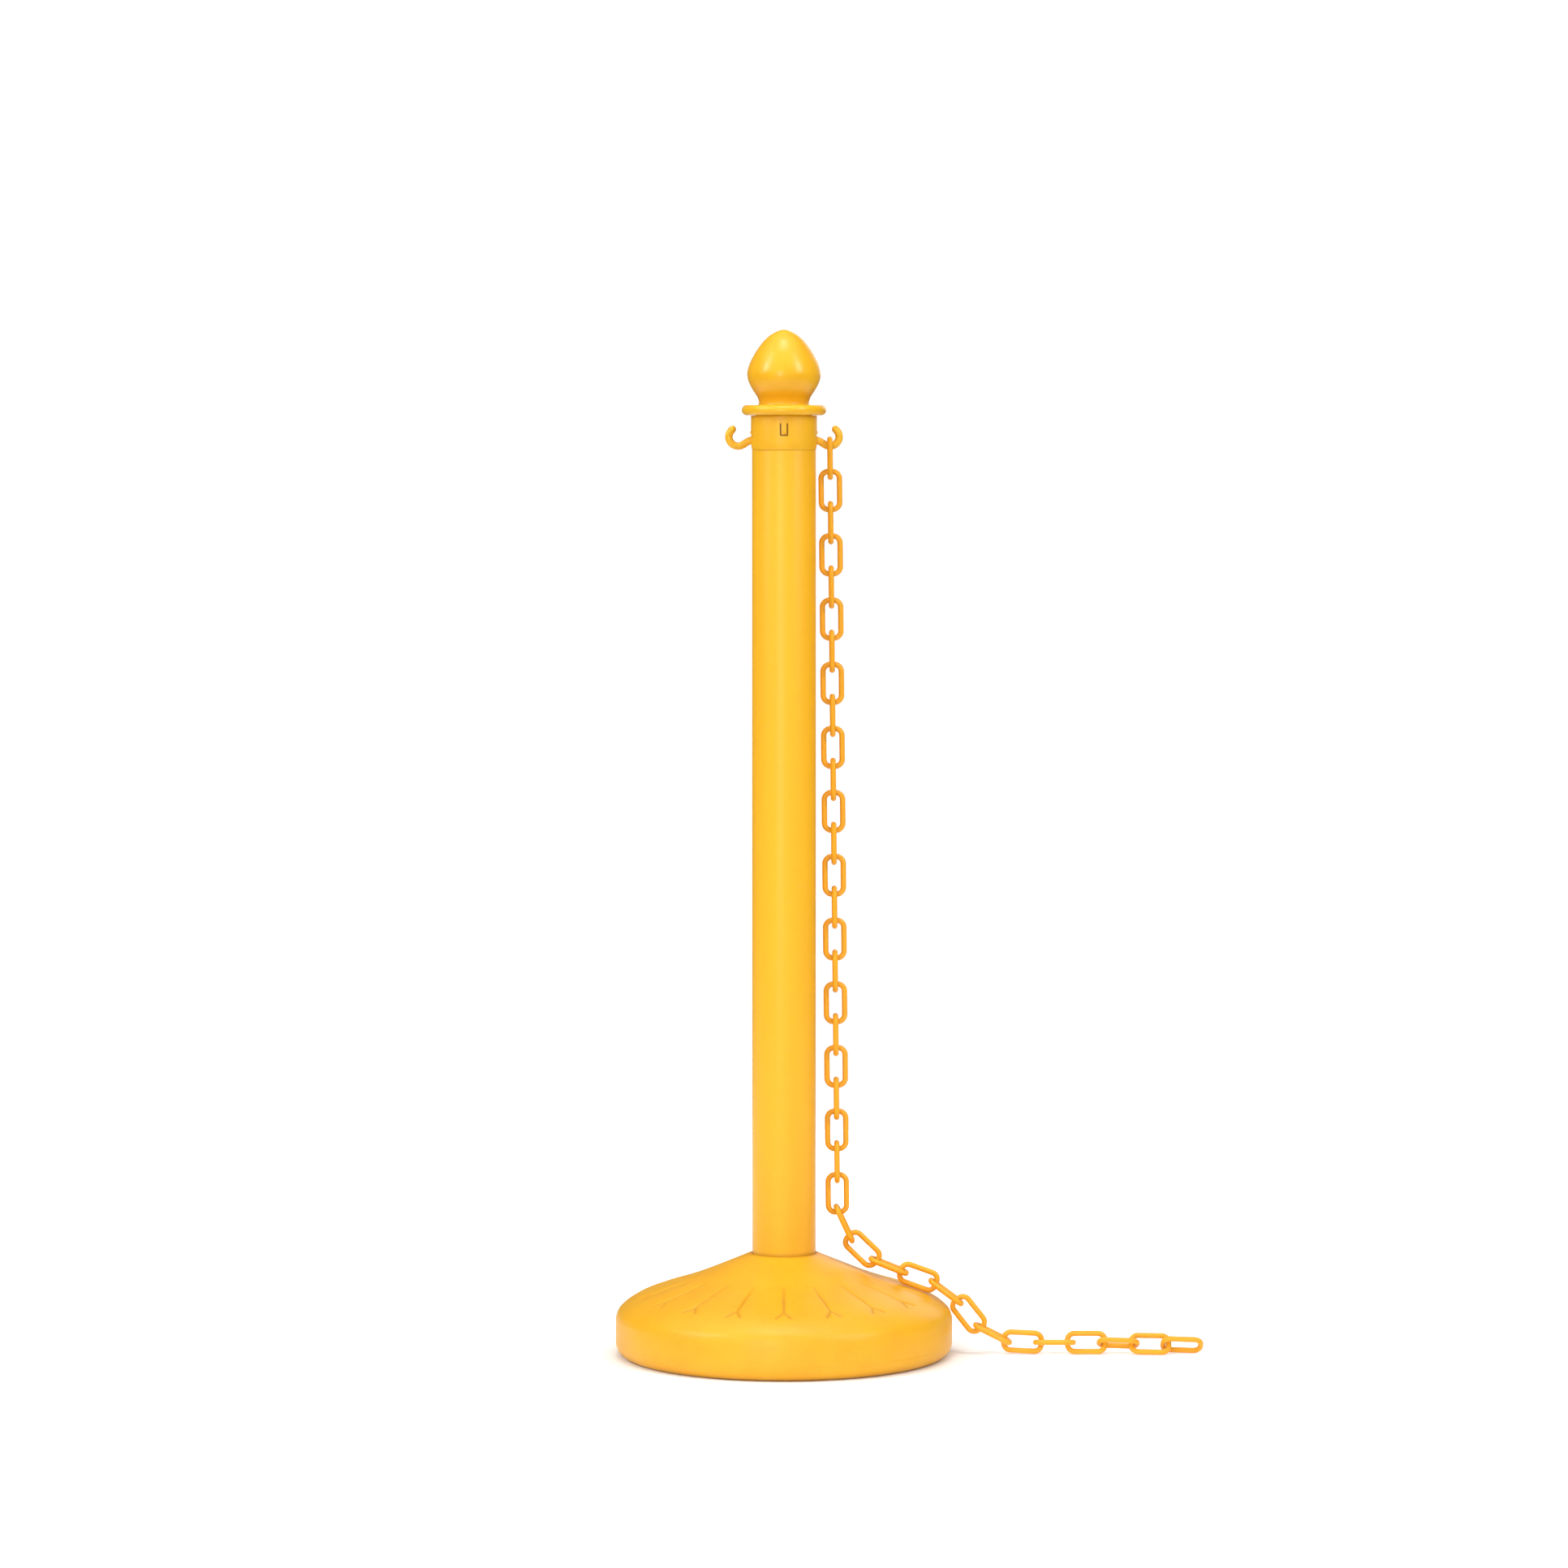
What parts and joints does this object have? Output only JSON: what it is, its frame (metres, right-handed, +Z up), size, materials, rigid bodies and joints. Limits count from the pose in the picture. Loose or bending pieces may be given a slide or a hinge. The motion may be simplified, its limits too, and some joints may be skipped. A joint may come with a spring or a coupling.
{
  "type": "plastic chain stanchion",
  "caption": "Free-standing hollow plastic post on a round domed base, with a ball finial, two C-hooks and a length of plastic link chain hung from one hook.",
  "frame": {"origin": "centre of the flat underside of the base, on the axis of the post", "axes": "+Z up along the post; the two hooks point along +X and -X; the chain hangs from the +X hook and its lower end lies along +X"},
  "size_m": [0.4979, 0.285, 0.866],
  "materials": {
    "base_plastic": "satin moulded polyethylene",
    "post_plastic": "satin moulded polyethylene",
    "collar_plastic": "satin moulded polyethylene",
    "hook_plastic": "satin moulded plastic",
    "finial_plastic": "satin moulded polyethylene",
    "chain_plastic": "satin moulded plastic",
    "plug_plastic": "fine moulded grain",
    "seal_rubber": "matt rubber"
  },
  "bodies": {
    "root": {"base_shell": "base_plastic"},
    "plug": {"fill_plug": "plug_plastic", "plug_seal": "seal_rubber"},
    "post": {"post_tube": "post_plastic", "hook_collar": "collar_plastic", "c_hook_right": "hook_plastic", "c_hook_left": "hook_plastic"},
    "finial": {"finial": "finial_plastic"},
    "link_01": {"chain_link_01": "chain_plastic"},
    "link_02": {"chain_link_02": "chain_plastic"},
    "link_03": {"chain_link_03": "chain_plastic"},
    "link_04": {"chain_link_04": "chain_plastic"},
    "link_05": {"chain_link_05": "chain_plastic"},
    "link_06": {"chain_link_06": "chain_plastic"},
    "link_07": {"chain_link_07": "chain_plastic"},
    "link_08": {"chain_link_08": "chain_plastic"},
    "link_09": {"chain_link_09": "chain_plastic"},
    "link_10": {"chain_link_10": "chain_plastic"},
    "link_11": {"chain_link_11": "chain_plastic"},
    "link_12": {"chain_link_12": "chain_plastic"},
    "link_13": {"chain_link_13": "chain_plastic"},
    "link_14": {"chain_link_14": "chain_plastic"},
    "link_15": {"chain_link_15": "chain_plastic"},
    "link_16": {"chain_link_16": "chain_plastic"},
    "link_17": {"chain_link_17": "chain_plastic"},
    "link_18": {"chain_link_18": "chain_plastic"},
    "link_19": {"chain_link_19": "chain_plastic"},
    "link_20": {"chain_link_20": "chain_plastic"},
    "link_21": {"chain_link_21": "chain_plastic"},
    "link_22": {"chain_link_22": "chain_plastic"},
    "link_23": {"chain_link_23": "chain_plastic"},
    "link_24": {"chain_link_24": "chain_plastic"},
    "link_25": {"chain_link_25": "chain_plastic"},
    "link_26": {"chain_link_26": "chain_plastic"},
    "link_27": {"chain_link_27": "chain_plastic"},
    "link_28": {"chain_link_28": "chain_plastic"},
    "link_29": {"chain_link_29": "chain_plastic"},
    "link_30": {"chain_link_30": "chain_plastic"},
    "link_31": {"chain_link_31": "chain_plastic"},
    "link_32": {"chain_link_32": "chain_plastic"},
    "link_33": {"chain_link_33": "chain_plastic"},
    "link_34": {"chain_link_34": "chain_plastic"},
    "link_35": {"chain_link_35": "chain_plastic"},
    "link_36": {"chain_link_36": "chain_plastic"},
    "link_37": {"chain_link_37": "chain_plastic"}
  },
  "joints": [
    {"name": "plug_turn", "type": "hinge", "parent": "root", "child": "plug", "pos_m": [0, 0.088, 0.005], "axis": [0, 0, 1], "range_deg": [0, 539.7]},
    {"name": "post_lift", "type": "slide", "parent": "root", "child": "post", "axis": [0, 0, 1], "range_m": [0, 0.08]},
    {"name": "finial_lift", "type": "slide", "parent": "post", "child": "finial", "axis": [0, 0, 1], "range_m": [0, 0.015]},
    {"name": "link_01_swing", "type": "hinge", "parent": "post", "child": "link_01", "pos_m": [0.0385, 0, 0.76855], "axis": [1, 0, 0], "range_deg": [-80.2, 80.2]},
    {"name": "link_02_swing", "type": "hinge", "parent": "link_01", "child": "link_02", "pos_m": [0.03876, 0, 0.7473], "axis": [-0.9999, 0, -0.0105], "range_deg": [-80.2, 80.2]},
    {"name": "link_03_swing", "type": "hinge", "parent": "link_02", "child": "link_03", "pos_m": [0.03909, 0, 0.7154], "axis": [0.9999, 0, 0.0105], "range_deg": [-80.2, 80.2]},
    {"name": "link_04_swing", "type": "hinge", "parent": "link_03", "child": "link_04", "pos_m": [0.03932, 0, 0.6933], "axis": [-0.9999, 0, -0.0105], "range_deg": [-80.2, 80.2]},
    {"name": "link_05_swing", "type": "hinge", "parent": "link_04", "child": "link_05", "pos_m": [0.03966, 0, 0.66141], "axis": [0.9999, 0, 0.0105], "range_deg": [-80.2, 80.2]},
    {"name": "link_06_swing", "type": "hinge", "parent": "link_05", "child": "link_06", "pos_m": [0.03989, 0, 0.63931], "axis": [-0.9999, 0, -0.0105], "range_deg": [-80.2, 80.2]},
    {"name": "link_07_swing", "type": "hinge", "parent": "link_06", "child": "link_07", "pos_m": [0.04022, 0, 0.60741], "axis": [0.9999, 0, 0.0105], "range_deg": [-80.2, 80.2]},
    {"name": "link_08_swing", "type": "hinge", "parent": "link_07", "child": "link_08", "pos_m": [0.04045, 0, 0.58531], "axis": [-0.9999, 0, -0.0105], "range_deg": [-80.2, 80.2]},
    {"name": "link_09_swing", "type": "hinge", "parent": "link_08", "child": "link_09", "pos_m": [0.04079, 0, 0.55341], "axis": [0.9999, 0, 0.0105], "range_deg": [-80.2, 80.2]},
    {"name": "link_10_swing", "type": "hinge", "parent": "link_09", "child": "link_10", "pos_m": [0.04102, 0, 0.53131], "axis": [-0.9999, 0, -0.0105], "range_deg": [-80.2, 80.2]},
    {"name": "link_11_swing", "type": "hinge", "parent": "link_10", "child": "link_11", "pos_m": [0.04135, 0, 0.49941], "axis": [0.9999, 0, 0.0105], "range_deg": [-80.2, 80.2]},
    {"name": "link_12_swing", "type": "hinge", "parent": "link_11", "child": "link_12", "pos_m": [0.04158, 0, 0.47732], "axis": [-0.9999, 0, -0.0105], "range_deg": [-80.2, 80.2]},
    {"name": "link_13_swing", "type": "hinge", "parent": "link_12", "child": "link_13", "pos_m": [0.04192, 0, 0.44542], "axis": [0.9999, 0, 0.0105], "range_deg": [-80.2, 80.2]},
    {"name": "link_14_swing", "type": "hinge", "parent": "link_13", "child": "link_14", "pos_m": [0.04215, 0, 0.42332], "axis": [-0.9999, 0, -0.0105], "range_deg": [-80.2, 80.2]},
    {"name": "link_15_swing", "type": "hinge", "parent": "link_14", "child": "link_15", "pos_m": [0.04248, 0, 0.39142], "axis": [0.9999, 0, 0.0105], "range_deg": [-80.2, 80.2]},
    {"name": "link_16_swing", "type": "hinge", "parent": "link_15", "child": "link_16", "pos_m": [0.04272, 0, 0.36932], "axis": [-0.9999, 0, -0.0105], "range_deg": [-80.2, 80.2]},
    {"name": "link_17_swing", "type": "hinge", "parent": "link_16", "child": "link_17", "pos_m": [0.04305, 0, 0.33742], "axis": [0.9999, 0, 0.0105], "range_deg": [-80.2, 80.2]},
    {"name": "link_18_swing", "type": "hinge", "parent": "link_17", "child": "link_18", "pos_m": [0.04328, 0, 0.31533], "axis": [-0.9999, 0, -0.0105], "range_deg": [-80.2, 80.2]},
    {"name": "link_19_swing", "type": "hinge", "parent": "link_18", "child": "link_19", "pos_m": [0.04361, 0, 0.28343], "axis": [0.9999, 0, 0.0105], "range_deg": [-80.2, 80.2]},
    {"name": "link_20_swing", "type": "hinge", "parent": "link_19", "child": "link_20", "pos_m": [0.04385, 0, 0.26133], "axis": [-0.9999, 0, -0.0105], "range_deg": [-80.2, 80.2]},
    {"name": "link_21_swing", "type": "hinge", "parent": "link_20", "child": "link_21", "pos_m": [0.04418, 0, 0.22943], "axis": [0.9999, 0, 0.0105], "range_deg": [-80.2, 80.2]},
    {"name": "link_22_swing", "type": "hinge", "parent": "link_21", "child": "link_22", "pos_m": [0.04441, 0, 0.20733], "axis": [-0.9999, 0, -0.0105], "range_deg": [-80.2, 80.2]},
    {"name": "link_23_swing", "type": "hinge", "parent": "link_22", "child": "link_23", "pos_m": [0.04475, 0, 0.17543], "axis": [0.9999, 0, 0.0105], "range_deg": [-80.2, 80.2]},
    {"name": "link_24_swing", "type": "hinge", "parent": "link_23", "child": "link_24", "pos_m": [0.04498, 0, 0.15333], "axis": [-0.9999, 0, -0.0105], "range_deg": [-80.2, 80.2]},
    {"name": "link_25_swing", "type": "hinge", "parent": "link_24", "child": "link_25", "pos_m": [0.04531, 0, 0.12144], "axis": [0.9999, 0, 0.0105], "range_deg": [-80.2, 80.2]},
    {"name": "link_26_swing", "type": "hinge", "parent": "link_25", "child": "link_26", "pos_m": [0.05493, 0, 0.10112], "axis": [-0.6947, 0, -0.7193], "range_deg": [-40.1, 40.1]},
    {"name": "link_27_swing", "type": "hinge", "parent": "link_26", "child": "link_27", "pos_m": [0.07788, 0, 0.07896], "axis": [0.6947, 0, 0.7193], "range_deg": [-40.1, 40.1]},
    {"name": "link_28_swing", "type": "hinge", "parent": "link_27", "child": "link_28", "pos_m": [0.09885, 0, 0.07138], "axis": [-0.342, 0, -0.9397], "range_deg": [-20.1, 20.1]},
    {"name": "link_29_swing", "type": "hinge", "parent": "link_28", "child": "link_29", "pos_m": [0.12883, 0, 0.06047], "axis": [0.342, 0, 0.9397], "range_deg": [-22.9, 22.9]},
    {"name": "link_30_swing", "type": "hinge", "parent": "link_29", "child": "link_30", "pos_m": [0.14658, 0, 0.04699], "axis": [-0.788, 0, -0.6157], "range_deg": [-40.1, 40.1]},
    {"name": "link_31_swing", "type": "hinge", "parent": "link_30", "child": "link_31", "pos_m": [0.16622, 0, 0.02185], "axis": [0.788, 0, 0.6157], "range_deg": [-40.1, 40.1]},
    {"name": "link_32_swing", "type": "hinge", "parent": "link_31", "child": "link_32", "pos_m": [0.18632, 0, 0.01166], "axis": [-0.0523, 0, -0.9986], "range_deg": [-51.6, 51.6]},
    {"name": "link_33_swing", "type": "hinge", "parent": "link_32", "child": "link_33", "pos_m": [0.21573, 0, 0.01005], "axis": [0, 0, 1], "range_deg": [-20.1, 20.1]},
    {"name": "link_34_swing", "type": "hinge", "parent": "link_33", "child": "link_34", "pos_m": [0.24273, 0, 0.01011], "axis": [0, 0, -1], "range_deg": [-20.1, 20.1]},
    {"name": "link_35_swing", "type": "hinge", "parent": "link_34", "child": "link_35", "pos_m": [0.26973, 0, 0.01016], "axis": [0, 0, 1], "range_deg": [-20.1, 20.1]},
    {"name": "link_36_swing", "type": "hinge", "parent": "link_35", "child": "link_36", "pos_m": [0.29671, 0, 0.00915], "axis": [0, 0, -1], "range_deg": [-20.1, 20.1]},
    {"name": "link_37_swing", "type": "hinge", "parent": "link_36", "child": "link_37", "pos_m": [0.32371, 0, 0.00872], "axis": [0, 0, 1], "range_deg": [-20.1, 20.1]}
  ]
}
